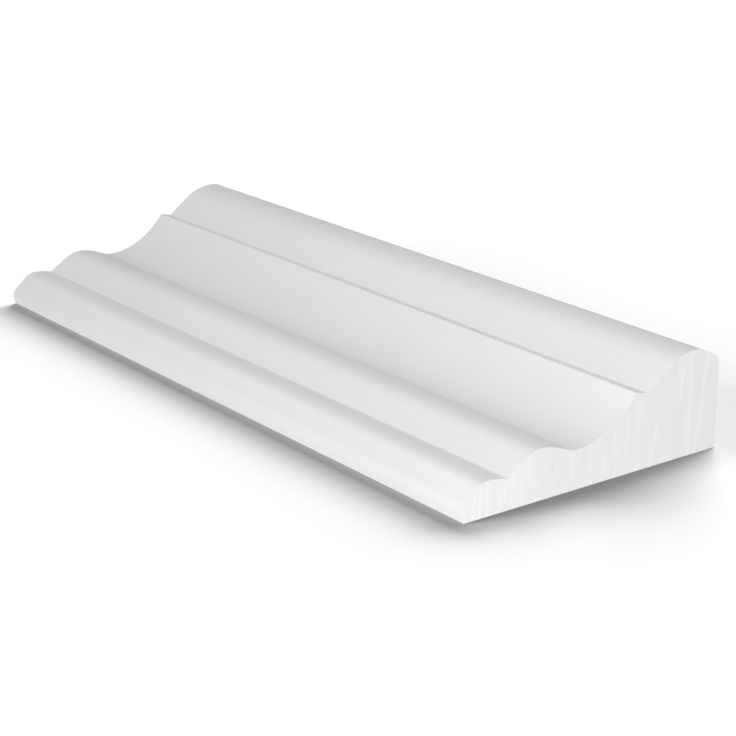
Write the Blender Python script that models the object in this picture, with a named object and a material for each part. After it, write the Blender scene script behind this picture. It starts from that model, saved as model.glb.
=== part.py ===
"""A length of wall moulding, milled from one board and cut square at both ends.

Units are metres, with +Z up. The moulding lies on its flat back: X runs along its length,
the thin edge faces -Y and the thick edge faces +Y. The origin is in the middle of the
underside.
"""
import math

import bmesh
import bpy

# Driving dimensions, in metres and degrees. The profile is a chain of members from the thin
# edge to the thick edge. A run goes across the board and a rise goes away from its flat back.

LENGTH = 0.2422

# thin edge: from the flat back up to the foremost line of the nosing, which leans out
EDGE_LEAN = 0.00065
EDGE_RISE = 0.0025

# nosing: the steep front face, then the round that carries it level
NOSING_FRONT_RUN = 0.0047
NOSING_FRONT_RISE = 0.00576
NOSING_BROW_ANGLE = 48.0
NOSING_TOP_RUN = 0.0045
NOSING_TOP_RISE = 0.00146

# quirk: the shallow fall behind the nosing, which ends in a sharp crease
QUIRK_RUN = 0.0056
QUIRK_DROP = 0.00087
QUIRK_ANGLE = 12.0

# bead: a straight front, a round top and a back that flattens out
BEAD_FRONT_RUN = 0.0052
BEAD_FRONT_RISE = 0.00328
BEAD_TOP_RUN = 0.00595
BEAD_TOP_RISE = 0.0022
BEAD_BACK_RUN = 0.00635
BEAD_BACK_DROP = 0.00123
BEAD_FOOT_RUN = 0.00405
BEAD_FOOT_DROP = 0.00157

# cove: the valley behind the bead, then the hollow that climbs to the step
VALLEY_RUN = 0.00225
VALLEY_DROP = 0.00033
COVE_RUN = 0.021
COVE_RISE = 0.0111
COVE_LIP_ANGLE = 51.8

# step: the narrow ledge that falls back from the lip of the cove
STEP_RUN = 0.0037
STEP_DROP = 0.001

# crown: a straight front, a round top, a back that falls away and a rounded shoulder
CROWN_FRONT_RUN = 0.00755
CROWN_FRONT_RISE = 0.00567
CROWN_TOP_RUN = 0.01055
CROWN_TOP_RISE = 0.00293
CROWN_BACK_RUN = 0.0049
CROWN_BACK_DROP = 0.00165
CROWN_BACK_ANGLE = 22.0
SHOULDER_RUN = 0.00365
SHOULDER_DROP = 0.00375

# A curved member's handles are this share of the straight line between its ends.
HANDLE_SHARE = 0.355
# Steps along each curved member.
CURVE_STEPS = 12
# Points closer than this are one point.
WELD_DISTANCE = 0.00001
# Edges that turn more than this stay sharp.
SHARP_ANGLE = 18.0

PAINT_COLOUR = (0.8, 0.8, 0.79, 1.0)
PAINT_ROUGHNESS = 0.45


def members():
    """Each member as its run, its rise and the angles it leaves and arrives at, None if straight."""
    up = math.radians(90)
    nosing_brow = math.radians(NOSING_BROW_ANGLE)
    quirk = -math.radians(QUIRK_ANGLE)
    bead_front = math.atan2(BEAD_FRONT_RISE, BEAD_FRONT_RUN)
    bead_foot = math.atan2(-BEAD_FOOT_DROP, BEAD_FOOT_RUN)
    cove_lip = math.radians(COVE_LIP_ANGLE)
    crown_front = math.atan2(CROWN_FRONT_RISE, CROWN_FRONT_RUN)
    crown_back = -math.radians(CROWN_BACK_ANGLE)
    return [
        (-EDGE_LEAN, EDGE_RISE, None, None),
        (NOSING_FRONT_RUN, NOSING_FRONT_RISE, up, nosing_brow),
        (NOSING_TOP_RUN, NOSING_TOP_RISE, nosing_brow, 0.0),
        (QUIRK_RUN, -QUIRK_DROP, 0.0, quirk),
        (BEAD_FRONT_RUN, BEAD_FRONT_RISE, None, None),
        (BEAD_TOP_RUN, BEAD_TOP_RISE, bead_front, 0.0),
        (BEAD_BACK_RUN, -BEAD_BACK_DROP, 0.0, bead_foot),
        (BEAD_FOOT_RUN, -BEAD_FOOT_DROP, None, None),
        (VALLEY_RUN, -VALLEY_DROP, bead_foot, 0.0),
        (COVE_RUN, COVE_RISE, 0.0, cove_lip),
        (STEP_RUN, -STEP_DROP, None, None),
        (CROWN_FRONT_RUN, CROWN_FRONT_RISE, None, None),
        (CROWN_TOP_RUN, CROWN_TOP_RISE, crown_front, 0.0),
        (CROWN_BACK_RUN, -CROWN_BACK_DROP, 0.0, crown_back),
        (SHOULDER_RUN, -SHOULDER_DROP, crown_back, -up),
    ]


def back_width():
    """Width of the flat back, from the foot of the thin edge to the foot of the thick edge."""
    return sum(run for run, rise, leaving, arriving in members())


def set_handle(point, side, angle, length):
    """Aim one handle of a curve point, or let it point straight at its neighbour."""
    if angle is None:
        setattr(point, f"handle_{side}_type", "VECTOR")
        return
    sign = 1 if side == "right" else -1
    x, y, z = point.co
    reach = sign * length
    setattr(point, f"handle_{side}_type", "FREE")
    setattr(point, f"handle_{side}", (x + reach * math.cos(angle), y + reach * math.sin(angle), z))


def profile_curve(name):
    """The closed outline of the moulding's section, with the foot of the thin edge at the origin."""
    chain = members()
    curve = bpy.data.curves.new(name, "CURVE")
    curve.dimensions = "2D"
    curve.fill_mode = "BOTH"
    curve.resolution_u = CURVE_STEPS
    spline = curve.splines.new("BEZIER")
    spline.bezier_points.add(len(chain) + 1)
    spline.use_cyclic_u = True

    across = 0.0
    height = 0.0
    points = spline.bezier_points
    points[0].co = (across, height, 0.0)
    for point, (run, rise, leaving, arriving) in zip(points[1:], chain):
        across += run
        height += rise
        point.co = (across, height, 0.0)
    points[-1].co = (across, 0.0, 0.0)

    set_handle(points[0], "left", None, 0.0)
    for index, (run, rise, leaving, arriving) in enumerate(chain):
        length = HANDLE_SHARE * math.hypot(run, rise)
        set_handle(points[index], "right", leaving, length)
        set_handle(points[index + 1], "left", arriving, length)
    set_handle(points[-2], "right", None, 0.0)
    set_handle(points[-1], "left", None, 0.0)
    set_handle(points[-1], "right", None, 0.0)
    return curve


def paint():
    """White eggshell paint."""
    material = bpy.data.materials.new("white_paint")
    material.use_nodes = True
    shader = material.node_tree.nodes["Principled BSDF"]
    shader.inputs["Base Color"].default_value = PAINT_COLOUR
    shader.inputs["Roughness"].default_value = PAINT_ROUGHNESS
    shader.inputs["Metallic"].default_value = 0.0
    return material


def solid_from_curve(curve_object):
    """Turn the extruded outline into one welded mesh object, and remove the curve."""
    depsgraph = bpy.context.evaluated_depsgraph_get()
    mesh = bpy.data.meshes.new_from_object(curve_object.evaluated_get(depsgraph))
    welded = bmesh.new()
    welded.from_mesh(mesh)
    bmesh.ops.remove_doubles(welded, verts=welded.verts, dist=WELD_DISTANCE)
    welded.to_mesh(mesh)
    welded.free()
    mesh.shade_smooth()
    mesh.set_sharp_from_angle(angle=math.radians(SHARP_ANGLE))

    name = curve_object.name
    place = curve_object.matrix_world.copy()
    curve = curve_object.data
    bpy.data.objects.remove(curve_object)
    bpy.data.curves.remove(curve)
    solid = bpy.data.objects.new(name, mesh)
    solid.matrix_world = place
    return solid


def moulding(collection):
    """The whole length: the outline run out to both sides of the middle."""
    curve = profile_curve("moulding_outline")
    curve.extrude = LENGTH / 2
    run = bpy.data.objects.new("moulding", curve)
    collection.objects.link(run)
    run.rotation_euler = (math.radians(90), 0.0, math.radians(90))
    run.location = (0.0, (EDGE_LEAN - back_width()) / 2, 0.0)
    bpy.context.view_layer.update()

    solid = solid_from_curve(run)
    solid.data.name = "moulding"
    solid.data.materials.append(paint())
    collection.objects.link(solid)
    return solid


def main():
    for item in list(bpy.data.objects):
        bpy.data.objects.remove(item)
    collection = bpy.data.collections.new("wall_moulding")
    bpy.context.scene.collection.children.link(collection)
    moulding(collection)


main()
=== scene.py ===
"""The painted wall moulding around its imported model: one finely sampled piece, a white floor,
soft studio light and the photograph's camera. Units are metres."""
import math
import random

import bmesh
import bpy
import numpy as np
from mathutils import Matrix, Vector, noise
from mathutils.geometry import delaunay_2d_cdt


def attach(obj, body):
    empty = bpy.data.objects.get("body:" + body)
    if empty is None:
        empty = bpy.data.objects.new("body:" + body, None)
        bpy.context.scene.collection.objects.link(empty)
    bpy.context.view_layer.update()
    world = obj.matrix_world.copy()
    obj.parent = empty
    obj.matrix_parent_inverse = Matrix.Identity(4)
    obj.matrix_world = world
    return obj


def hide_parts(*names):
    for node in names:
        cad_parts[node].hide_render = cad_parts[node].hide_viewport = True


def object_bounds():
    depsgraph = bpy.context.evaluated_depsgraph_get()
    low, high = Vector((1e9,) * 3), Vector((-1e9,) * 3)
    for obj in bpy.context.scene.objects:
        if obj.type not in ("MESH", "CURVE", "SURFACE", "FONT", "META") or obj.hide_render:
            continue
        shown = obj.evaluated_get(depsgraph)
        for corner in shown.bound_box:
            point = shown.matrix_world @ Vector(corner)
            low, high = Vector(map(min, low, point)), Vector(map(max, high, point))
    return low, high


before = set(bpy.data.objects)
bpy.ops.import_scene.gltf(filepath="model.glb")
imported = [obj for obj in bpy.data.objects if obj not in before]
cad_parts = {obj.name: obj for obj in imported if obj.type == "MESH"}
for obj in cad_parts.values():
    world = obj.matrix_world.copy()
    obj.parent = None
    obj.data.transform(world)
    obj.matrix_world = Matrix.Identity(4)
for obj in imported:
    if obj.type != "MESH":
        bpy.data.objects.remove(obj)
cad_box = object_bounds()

MM = 0.001

# The camera, solved from the photograph's edges.
CAMERA_PLACE = (0.48040, -0.33966, 0.19801)
CAMERA_TURN = 53.489
CAMERA_DIP = 18.626
CAMERA_ROLL = -0.335
CAMERA_LENS = 98.29
SENSOR = 36.0

# Light. The sky is brighter below the horizon, as over a white table, and fades over HORIZON, the
# sine of a height. The lamps light the moulding alone and the far softboxes the floor alone. A
# turn is counted from +X towards -Y, and a lamp's distance from the near cut end.
SKY_ABOVE = 0.25
SKY_BELOW = 0.835
HORIZON = 0.08
LAMPS = {
    "key": {"turn": 60.0, "height": 25.0, "distance": 0.8, "size": 0.4, "power": 3.59},
    "fill": {"turn": 30.0, "height": 5.0, "distance": 0.4, "size": 0.25, "power": 0.503},
    "overhead": {"turn": 180.0, "height": 86.5, "distance": 2.0, "size": 1.0, "power": 11.9},
    "rear": {"turn": -90.0, "height": 30.0, "distance": 0.4, "size": 0.25, "power": 0.12},
    "far": {"turn": 180.0, "height": 40.0, "distance": 0.4, "size": 0.25, "power": 0.05},
}
SOFTBOXES = {
    "back_left": {"turn": -127.1, "height": 29.9, "angle": 30.0, "power": 7.44},
    "back": {"turn": -99.3, "height": 22.6, "angle": 26.9, "power": 8.35},
    "front": {"turn": 108.6, "height": 23.9, "angle": 21.5, "power": 4.32},
}
SOFTBOX_DISTANCE = 3.0

# The floor is a mid grey that its lights turn white.
FLOOR_SIZE = 24.0
FLOOR_TONE = (0.335, 0.345)
FLOOR_ROUGHNESS = 0.9

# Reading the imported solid: points this near a plane lie on it, and coordinates are rounded.
ON_PLANE = 0.01 * MM
ROUNDED_TO = 7
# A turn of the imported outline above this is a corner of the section.
CORNER_TURN = 14.0
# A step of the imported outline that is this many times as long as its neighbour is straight.
STRAIGHT_RATIO = 3
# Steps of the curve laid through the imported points, and of the outline taken from it.
CURVE_STEP = 0.05 * MM
OUTLINE_STEP = 0.3 * MM
# Paint fills and softens each corner for this far on both sides of it.
CORNER_EASE = 0.4 * MM
CORNER_STEPS = 6

# Rings along the length: their distances from each cut end, then a steady spacing.
RINGS_AT_END = (0.15 * MM, 0.8 * MM, 2.4 * MM)
RING_STEP = 4.5 * MM
# Faint unevenness of the faces: its depth, its waves along, across and up, how far from the cut
# ends it sets in, and the strip above the underside that it leaves flat.
FACE_RELIEF = 0.012 * MM
FACE_WAVES = (70 * MM, 2.2 * MM, 2.2 * MM)
RELIEF_FADE = 4 * MM
RELIEF_FOOT = 0.5 * MM

# The softened arris round each cut end, with one ring more inside it that holds the cut face flat.
ARRIS_MEAN = 0.05 * MM
ARRIS_SPREAD = 0.03 * MM
ARRIS_WAVE = 1.3 * MM
ARRIS_OFFSET = 9.0
ARRIS_STEPS = 3
ARRIS_HOLD = 0.08 * MM
# The arris is painted darker by this share of a nick's tone: painted shade that dulls the light line
# along it.
ARRIS_PAINTED_SHADE = -0.4

# The saw marks under the paint of the cut ends, about one to each step across.
MARK_SEEDS = {-1: 11, 1: 4}
MARK_STEP = 2.6 * MM
MARK_PLACE = (0.1, 0.9)
MARK_BASE = 0.035 * MM
MARK_RISE = 0.025 * MM
# Light ridges: their share of the marks, length as a share of the height there, and strength.
RIDGE_SHARE = 0.65
RIDGE_LENGTH = (0.3, 1.05)
RIDGE_STRENGTH = (0.3, 1.0)
# Dark nicks: length in millimetres, and strength.
NICK_LENGTH = (2.0, 6.0)
NICK_STRENGTH = (0.4, 0.9)
# Most marks are nearly upright, and the rest lean.
UPRIGHT_SHARE = 0.82
UPRIGHT_LEAN = (-0.01, 0.03)
STRONG_LEAN = (0.1, 0.2)
# Width in millimetres, reach in widths, the sideways wave, and how far a mark takes to fade out.
MARK_WIDTH = (0.36, 0.66)
MARK_REACH = 3
MARK_SWAY = 0.22 * MM
SWAY_WAVE = 2.8 * MM
MARK_FADE = 1.2 * MM
# Unevenness between the marks: strength, waves across and up, and offset of the noise.
MARK_NOISE = ((0.12, 1.1 * MM, 16 * MM, 0.0), (0.14, 5 * MM, 14 * MM, 4.0))

# Points inside a cut end: their spacing across and up, and their distance from its border.
END_GRID = (0.32 * MM, 0.75 * MM)
END_CLEAR = 0.2 * MM
# Settings of the triangulation: faces only inside the border, and points this near are one.
INSIDE_BORDER = 1
SAME_POINT = 1e-9

# Paint. Noise has a count of waves per metre along each axis, then its detail and roughness.
# This attribute carries the saw marks' strength and the painted shade on the arrises.
MARK_AND_SHADE_ATTRIBUTE = "saw_mark_and_arris_shade"
BRUSHED = ((14.0, 900.0, 900.0), 4.0, 0.55)
MOTTLED = ((45.0, 60.0, 60.0), 3.0, 0.55)
STREAKED = ((1.0, 700.0, 40.0), 2.0, 0.5)
GRAINED = ((2600.0, 2600.0, 2600.0), 2.0, 0.55)
CLOUDED = ((3.0, 3.0, 3.0), 2.0, 0.55)
# The share of the noise's range that a ramp runs over.
NOISE_RANGE = (0.3, 0.7)
# Between these distances from the plane of the cut, the faces' paint turns into that of the end.
END_PAINT = (0.3 * MM, 0.12 * MM)
FACE_TONE = (0.796, 0.808)
FACE_BRUSHING = 0.005
END_TONE = (0.79, 0.806)
END_STREAKING = 0.008
# The saw marks' paint is this much lighter on a full ridge and darker in a full nick: painted light
# and shade over their real relief.
MARK_TONE = 0.06
FACE_ROUGHNESS = (0.42, 0.5)
END_ROUGHNESS = (0.52, 0.62)
# Bump: height of the brushing or streaking, then of the grain.
FACE_BUMP = (1.0, 0.35)
END_BUMP = (1.2, 0.5)
BUMP_STRENGTH = 0.5
BUMP_DISTANCE = 0.01 * MM


def packed_section(node):
    """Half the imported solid's length, and its section from the thin edge's foot over the top."""
    corners = [v.co for v in node.data.vertices]
    end = max(p.x for p in corners)
    at_end = [p for p in corners if p.x > end - ON_PLANE]
    points = sorted({(round(p.y, ROUNDED_TO), round(p.z, ROUNDED_TO)) for p in at_end})
    feet = [p for p in points if p[1] < ON_PLANE]
    chain = [p for p in points if p[1] >= ON_PLANE]
    return end, np.array([feet[0]] + chain + [feet[-1]])


def unit(v):
    return v / np.linalg.norm(v)


def tangents_of(ways, lengths):
    """Directions at the points of a stretch, given the directions and lengths of its steps."""
    if len(ways) == 1:
        return np.array([ways[0], ways[0]])
    inner = []
    for way, next_way, before, after in zip(ways, ways[1:], lengths, lengths[1:]):
        if before > STRAIGHT_RATIO * after:
            inner.append(way)
        elif after > STRAIGHT_RATIO * before:
            inner.append(next_way)
        else:
            inner.append(unit(way * after + next_way * before))
    first = unit(2 * ways[0] - inner[0])
    last = unit(2 * ways[-1] - inner[-1])
    return np.array([first] + inner + [last])


def smooth_stretch(points):
    """A fine polyline through the points of one stretch that has no corner inside it."""
    steps = np.diff(points, axis=0)
    lengths = np.linalg.norm(steps, axis=1)
    tangents = tangents_of(steps / lengths[:, None], lengths)
    fine = [points[0]]
    for i, length in enumerate(lengths):
        count = max(2, int(length / CURVE_STEP))
        for k in range(1, count + 1):
            t = k / count
            fine.append(
                (2 * t**3 - 3 * t**2 + 1) * points[i] + (t**3 - 2 * t**2 + t) * length * tangents[i]
                + (3 * t**2 - 2 * t**3) * points[i + 1] + (t**3 - t**2) * length * tangents[i + 1])
    return np.array(fine)


def along(line, distance):
    """Points at the given distances along a polyline."""
    s = np.r_[0, np.cumsum(np.linalg.norm(np.diff(line, axis=0), axis=1))]
    return np.c_[np.interp(distance, s, line[:, 0]), np.interp(distance, s, line[:, 1])]


def eased_outline(section):
    """The closed outline of the section, evenly stepped and with softened corners."""
    ways = np.diff(section, axis=0)
    headings = np.unwrap(np.arctan2(ways[:, 1], ways[:, 0]))
    turns = np.degrees(np.abs(np.diff(headings)))
    cuts = [0] + [i + 1 for i, turn in enumerate(turns) if turn > CORNER_TURN] + [len(section) - 1]
    stretches = [smooth_stretch(section[a:b + 1]) for a, b in zip(cuts, cuts[1:])]
    stretches.append(np.array([section[-1], section[0]]))
    outline = []
    for line, following in zip(stretches, stretches[1:] + stretches[:1]):
        length = np.linalg.norm(np.diff(line, axis=0), axis=1).sum()
        count = math.ceil((length - 2 * CORNER_EASE) / OUTLINE_STEP)
        outline.extend(along(line, np.linspace(CORNER_EASE, length - CORNER_EASE, count + 1)))
        start = along(line, [length - CORNER_EASE])[0]
        corner = line[-1]
        stop = along(following, [CORNER_EASE])[0]
        for k in range(1, CORNER_STEPS):
            t = k / CORNER_STEPS
            outline.append((1 - t)**2 * start + 2 * t * (1 - t) * corner + t**2 * stop)
    return np.clip(outline, section.min(axis=0), section.max(axis=0))


def inward(outline):
    """Unit directions into the board at each point of the outline, clockwise as seen from +X."""
    ahead = np.roll(outline, -1, axis=0) - outline
    behind = outline - np.roll(outline, 1, axis=0)
    ahead /= np.linalg.norm(ahead, axis=1)[:, None]
    behind /= np.linalg.norm(behind, axis=1)[:, None]
    way = ahead + behind
    way /= np.linalg.norm(way, axis=1)[:, None]
    return np.c_[way[:, 1], -way[:, 0]]


class SawMarks:
    """Upright marks on one cut end: light ridges and fewer dark nicks."""

    def __init__(self, section, seed):
        pick = random.Random(seed)
        low = section[:, 0].min()
        high = section[:, 0].max()
        self.seed = seed
        self.marks = []
        for k in range(round((high - low) / MARK_STEP)):
            y = low + MARK_STEP * (k + pick.uniform(*MARK_PLACE))
            top = np.interp(y, section[1:-1, 0], section[1:-1, 1])
            if pick.random() < RIDGE_SHARE:
                length = top * pick.uniform(*RIDGE_LENGTH)
                strength = pick.uniform(*RIDGE_STRENGTH)
            else:
                length = min(top, pick.uniform(*NICK_LENGTH) * MM)
                strength = -pick.uniform(*NICK_STRENGTH)
            foot = pick.choice((0.0, pick.uniform(0.0, max(top - length, 0.0)), top - length))
            upright = pick.random() < UPRIGHT_SHARE
            lean = pick.uniform(*UPRIGHT_LEAN) if upright else pick.uniform(*STRONG_LEAN)
            width = pick.uniform(*MARK_WIDTH) * MM
            wave = pick.uniform(0.0, 2 * math.pi)
            self.marks.append((y, foot, length, lean, width, strength, wave))

    def at(self, y, z):
        """How far a point stands in a ridge, above zero, or in a nick, below zero."""
        value = 0.0
        for strength, across, up, offset in MARK_NOISE:
            value += strength * noise.noise(Vector((y / across, z / up, self.seed + offset)))
        for middle, foot, length, lean, width, strength, wave in self.marks:
            up = z - foot - length / 2
            off = y - middle - lean * up - MARK_SWAY * math.sin(wave + z / SWAY_WAVE)
            if abs(off) < MARK_REACH * width:
                fade = min(1.0, max(0.0, (length / 2 - abs(up)) / MARK_FADE + 0.5))
                value += strength * fade * math.exp(-(off / width)**2)
        return value

    def depth(self, y, z):
        """Depth of the painted surface behind the plane of the cut, never above it."""
        return max(0.0, MARK_BASE - MARK_RISE * self.at(y, z))


def arris_rings(side, end, outline, normals, marks):
    """Rings round the arris of one cut end, and last the one that holds the cut face flat."""
    waves = [
        noise.noise(Vector((y / ARRIS_WAVE, z / ARRIS_WAVE, ARRIS_OFFSET * side))) for y, z in outline]
    radius = ARRIS_MEAN + ARRIS_SPREAD * np.array(waves)
    angles = [math.radians(90) * k / ARRIS_STEPS for k in range(ARRIS_STEPS + 1)]
    rings = []
    for angle, hold in [(angle, 0.0) for angle in angles] + [(angles[-1], ARRIS_HOLD)]:
        ring = outline + normals * (radius * (1 - math.cos(angle)) + hold)[:, None]
        depth = np.array([marks.depth(y, z) for y, z in ring])
        x = side * (end - radius + (radius - depth) * math.sin(angle))
        rings.append(np.c_[x, ring])
    return rings


def face_relief(x, y, z):
    """Depth of the faint unevenness that runs along the milled and painted faces."""
    waves = noise.noise(Vector((x / FACE_WAVES[0], y / FACE_WAVES[1], z / FACE_WAVES[2])))
    return FACE_RELIEF * min(max(0.5 + 0.5 * waves, 0.0), 1.0)


def face_rings(end, outline, normals):
    """Rings along the length, between the arrises of the two cut ends."""
    near_end = RINGS_AT_END[:-1]
    last = RINGS_AT_END[-1]
    steady = np.linspace(-end + last, end - last, round(2 * end / RING_STEP))
    places = [-end + d for d in near_end] + list(steady) + [end - d for d in reversed(near_end)]
    rings = []
    for x in places:
        fade = min(1.0, (end - abs(x)) / RELIEF_FADE)
        depth = [fade * face_relief(x, y, z) if z > RELIEF_FOOT else 0.0 for y, z in outline]
        ring = outline + normals * np.array(depth)[:, None]
        rings.append(np.c_[np.full(len(outline), x), ring])
    return rings


def cap_points(border):
    """Points inside a cut end, on a grid that is finer across the board than up it."""
    across = np.arange(border[:, 0].min(), border[:, 0].max(), END_GRID[0])
    up = np.arange(border[:, 1].min() + END_CLEAR, border[:, 1].max(), END_GRID[1])
    kept = []
    closed = np.r_[border, border[:1]]
    for column, y in enumerate(across):
        shift = 0.5 * END_GRID[1] * (column % 2)
        sides = (closed[:-1, 0] - y) * (closed[1:, 0] - y) < 0
        a = closed[:-1][sides]
        b = closed[1:][sides]
        heights = np.sort(a[:, 1] + (y - a[:, 0]) * (b[:, 1] - a[:, 1]) / (b[:, 0] - a[:, 0]))
        for z in up + shift:
            if np.sum(heights > z) % 2 == 1 and np.hypot(*(border - (y, z)).T).min() > END_CLEAR:
                kept.append((y, z))
    return np.array(kept)


def cap_faces(border, inside):
    """Triangles that fill a cut end, as indices of its border points and then its inside ones."""
    flat = [Vector(p) for p in np.r_[border, inside]]
    edges = [(i, (i + 1) % len(border)) for i in range(len(border))]
    filled = delaunay_2d_cdt(flat, edges, [list(range(len(border)))], INSIDE_BORDER, SAME_POINT)
    corners, triangles, sources = filled[0], filled[2], filled[3]
    if len(corners) != len(flat):
        raise RuntimeError("a cut end gained or lost points")
    return [[sources[corner][0] for corner in triangle] for triangle in triangles]


def moulding_mesh(end, section, outline):
    """One closed mesh: rings along the length, softened arrises and finely divided cut ends."""
    count = len(outline)
    normals = inward(outline)
    marks = {side: SawMarks(section, seed) for side, seed in MARK_SEEDS.items()}
    rings = arris_rings(-1, end, outline, normals, marks[-1])[::-1]
    rings += face_rings(end, outline, normals)
    rings += arris_rings(1, end, outline, normals, marks[1])
    last_ring = len(rings) - 1
    points = np.concatenate(rings)

    faces = []
    for r in range(last_ring):
        for i in range(count):
            j = (i + 1) % count
            faces.append((r * count + i, r * count + j, (r + 1) * count + j, (r + 1) * count + i))

    for side, first in ((-1, 0), (1, last_ring * count)):
        border = points[first:first + count, 1:]
        inside = cap_points(border)
        added = len(points) - count
        points = np.r_[points, [(side * (end - marks[side].depth(y, z)), y, z) for y, z in inside]]
        for triangle in cap_faces(border, inside):
            faces.append(tuple(k + (first if k < count else added) for k in triangle))

    mesh = bpy.data.meshes.new("moulding_body")
    mesh.from_pydata(points.tolist(), [], faces)
    facing = bmesh.new()
    facing.from_mesh(mesh)
    bmesh.ops.recalc_face_normals(facing, faces=facing.faces)
    facing.to_mesh(mesh)
    facing.free()
    mesh.shade_smooth()

    # The strength of the mark at each point of a cut end, and the painted shade on its arris.
    strength = mesh.attributes.new(MARK_AND_SHADE_ATTRIBUTE, "FLOAT", "POINT")
    for k, (x, y, z) in enumerate(points):
        ring = k // count
        from_end = min(ring, last_ring - ring)
        if ring > last_ring or from_end <= 1:
            strength.data[k].value = marks[1 if x > 0 else -1].at(y, z)
        elif from_end <= ARRIS_STEPS + 1:
            strength.data[k].value = ARRIS_PAINTED_SHADE
    return mesh


class Nodes:
    """Adds nodes to the tree of a material or world, around its shader."""

    def __init__(self, owner, shader="Principled BSDF"):
        owner.use_nodes = True
        self.tree = owner.node_tree
        self.shader = self.tree.nodes[shader]

    def add(self, kind, values=(), **settings):
        node = self.tree.nodes.new(kind)
        for name, value in settings.items():
            setattr(node, name, value)
        for name, value in dict(values).items():
            if isinstance(value, bpy.types.NodeSocket):
                self.tree.links.new(value, node.inputs[name])
            else:
                node.inputs[name].default_value = value
        return node

    def drive(self, name, value):
        """Link a value to an input of the shader."""
        self.tree.links.new(value, self.shader.inputs[name])

    def noise(self, place, scale, detail, roughness):
        scaled = self.add("ShaderNodeMapping", {0: place, "Scale": scale}).outputs[0]
        return self.add("ShaderNodeTexNoise", {
            "Vector": scaled, "Scale": 1.0, "Detail": detail, "Roughness": roughness}).outputs[0]

    def ramp(self, value, low, high, start=NOISE_RANGE[0], stop=NOISE_RANGE[1]):
        return self.add("ShaderNodeMapRange", {
            0: value, "From Min": start, "From Max": stop, "To Min": low, "To Max": high}).outputs[0]

    def math(self, operation, first, second, third=0.0):
        values = {0: first, 1: second, 2: third}
        return self.add("ShaderNodeMath", values, operation=operation).outputs[0]

    def mix(self, share, first, second):
        values = {0: share, 2: first, 3: second}
        return self.add("ShaderNodeMix", values, data_type="FLOAT").outputs[0]

    def grey(self, tone):
        return self.add("ShaderNodeCombineColor", {0: tone, 1: tone, 2: tone}).outputs[0]


def paint(end):
    """White eggshell paint: brushed along the length, and streaked over the saw marks, with painted
    light on their ridges and painted shade in their nicks and on the arrises.
    """
    material = bpy.data.materials.new("white_paint")
    n = Nodes(material)
    place = n.add("ShaderNodeTexCoord").outputs["Object"]
    x = n.add("ShaderNodeSeparateXYZ", {0: place}).outputs[0]
    from_middle = n.math("ABSOLUTE", x, 0.0)
    on_end = n.ramp(from_middle, 0.0, 1.0, end - END_PAINT[0], end - END_PAINT[1])
    mark = n.add("ShaderNodeAttribute", attribute_name=MARK_AND_SHADE_ATTRIBUTE).outputs["Fac"]

    brushed = n.noise(place, *BRUSHED)
    mottled = n.noise(place, *MOTTLED)
    streaked = n.noise(place, *STREAKED)
    grained = n.noise(place, *GRAINED)

    brushing = n.ramp(brushed, -FACE_BRUSHING, FACE_BRUSHING)
    face_tone = n.math("ADD", brushing, n.ramp(mottled, *FACE_TONE))
    streaking = n.ramp(streaked, -END_STREAKING, END_STREAKING)
    worn = n.math("ADD", streaking, n.ramp(mottled, *END_TONE))
    # Painted light on the ridges, painted shade in the nicks and on the arrises.
    end_tone_with_painted_light = n.math("ADD", n.ramp(mark, -MARK_TONE, MARK_TONE, -1.0, 1.0), worn)
    n.drive("Base Color", n.grey(n.mix(on_end, face_tone, end_tone_with_painted_light)))

    face_rough = n.ramp(brushed, *FACE_ROUGHNESS)
    end_rough = n.ramp(streaked, *END_ROUGHNESS)
    n.drive("Roughness", n.mix(on_end, face_rough, end_rough))

    face_grain = n.math("MULTIPLY", grained, FACE_BUMP[1])
    face_height = n.math("MULTIPLY_ADD", brushed, FACE_BUMP[0], face_grain)
    end_grain = n.math("MULTIPLY", grained, END_BUMP[1])
    end_height = n.math("MULTIPLY_ADD", streaked, END_BUMP[0], end_grain)
    bump = n.add("ShaderNodeBump", {
        "Strength": BUMP_STRENGTH, "Distance": BUMP_DISTANCE,
        "Height": n.mix(on_end, face_height, end_height)})
    n.drive("Normal", bump.outputs[0])
    return material


def floor_material():
    """A plain sweep, lit so that it turns white around the shadow."""
    material = bpy.data.materials.new("studio_floor")
    n = Nodes(material)
    place = n.add("ShaderNodeTexCoord").outputs["Object"]
    n.drive("Base Color", n.grey(n.ramp(n.noise(place, *CLOUDED), *FLOOR_TONE)))
    n.shader.inputs["Roughness"].default_value = FLOOR_ROUGHNESS
    n.shader.inputs["Specular IOR Level"].default_value = 0.0
    return material


def link(item):
    bpy.context.scene.collection.objects.link(item)
    return item


def add_moulding():
    end, section = packed_section(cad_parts["moulding"])
    mesh = moulding_mesh(end, section, eased_outline(section))
    mesh.materials.append(paint(end))
    return link(bpy.data.objects.new("moulding_body", mesh))


def add_floor():
    reach = FLOOR_SIZE / 2
    corners = [(-reach, -reach, 0), (reach, -reach, 0), (reach, reach, 0), (-reach, reach, 0)]
    mesh = bpy.data.meshes.new("studio_floor")
    mesh.from_pydata(corners, [], [(0, 1, 2, 3)])
    mesh.materials.append(floor_material())
    floor = link(bpy.data.objects.new("studio_floor", mesh))
    # The moulding is lit from below by the sky instead, so the shadow on the floor doesn't dim it.
    floor.visible_diffuse = False
    floor.visible_glossy = False
    floor.visible_shadow = False
    return floor


def direction(turn, height):
    """The way to a light at this turn from +X towards -Y and this height, in degrees."""
    turn = math.radians(-turn)
    height = math.radians(height)
    level = math.cos(height)
    return Vector((math.cos(turn) * level, math.sin(turn) * level, math.sin(height)))


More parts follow.
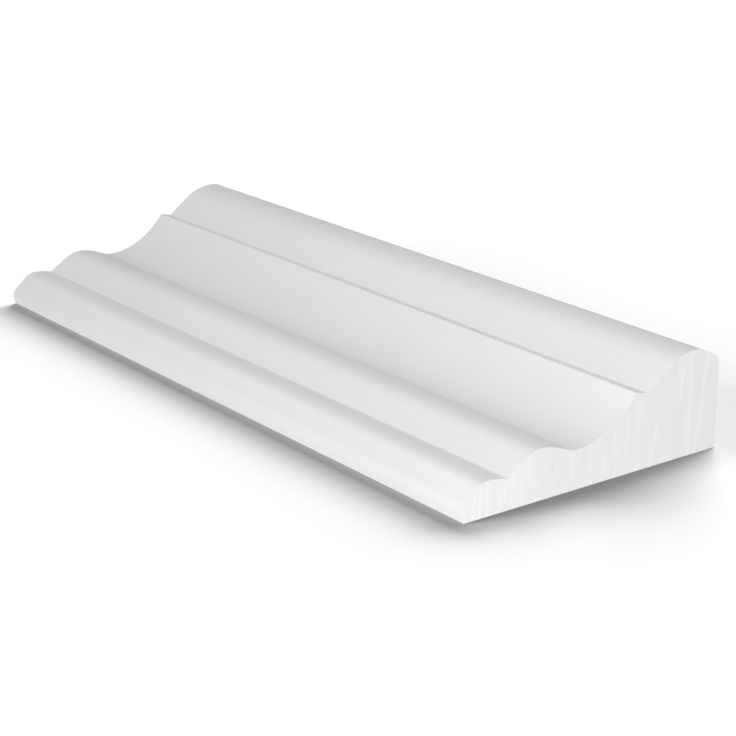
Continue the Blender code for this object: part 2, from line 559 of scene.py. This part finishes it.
def add_light(name, kind, power, receiver, place, toward):
    data = bpy.data.lights.new(name, kind)
    data.energy = power
    lamp = link(bpy.data.objects.new(name, data))
    lamp.location = place
    lamp.rotation_euler = toward.to_track_quat("Z", "Y").to_euler()
    lamp.visible_camera = False
    lit = bpy.data.collections.new(name + "_lights")
    lit.objects.link(receiver)
    lamp.light_linking.receiver_collection = lit
    return data


def add_sky():
    world = bpy.data.worlds.new("studio_sky")
    bpy.context.scene.world = world
    n = Nodes(world, "Background")
    n.shader.inputs["Color"].default_value = (1.0, 1.0, 1.0, 1.0)
    way = n.add("ShaderNodeTexCoord").outputs["Generated"]
    up = n.add("ShaderNodeSeparateXYZ", {0: way}).outputs[2]
    n.drive("Strength", n.ramp(up, SKY_BELOW, SKY_ABOVE, -HORIZON, HORIZON))


def add_lights(piece, floor):
    low, high = cad_box
    near_end = Vector((high[0], 0.0, (low[2] + high[2]) / 2))
    for name, lamp in LAMPS.items():
        toward = direction(lamp["turn"], lamp["height"])
        place = near_end + toward * lamp["distance"]
        data = add_light(name, "AREA", lamp["power"], piece, place, toward)
        data.shape = "DISK"
        data.size = lamp["size"]
    for name, box in SOFTBOXES.items():
        toward = direction(box["turn"], box["height"])
        data = add_light(name, "SUN", box["power"], floor, toward * SOFTBOX_DISTANCE, toward)
        data.angle = math.radians(box["angle"])


def add_camera():
    data = bpy.data.cameras.new("camera")
    data.lens = CAMERA_LENS
    data.sensor_width = SENSOR
    camera = link(bpy.data.objects.new("camera", data))
    turn = Matrix.Rotation(math.radians(CAMERA_TURN), 4, "Z")
    dip = Matrix.Rotation(math.radians(90 - CAMERA_DIP), 4, "X")
    roll = Matrix.Rotation(math.radians(CAMERA_ROLL), 4, "Z")
    camera.matrix_world = Matrix.Translation(CAMERA_PLACE) @ turn @ dip @ roll
    bpy.context.scene.camera = camera


moulding = add_moulding()
studio_floor = add_floor()
add_sky()
add_lights(moulding, studio_floor)
add_camera()
bpy.context.scene.view_settings.view_transform = "Standard"

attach(moulding, "root")
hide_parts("moulding")
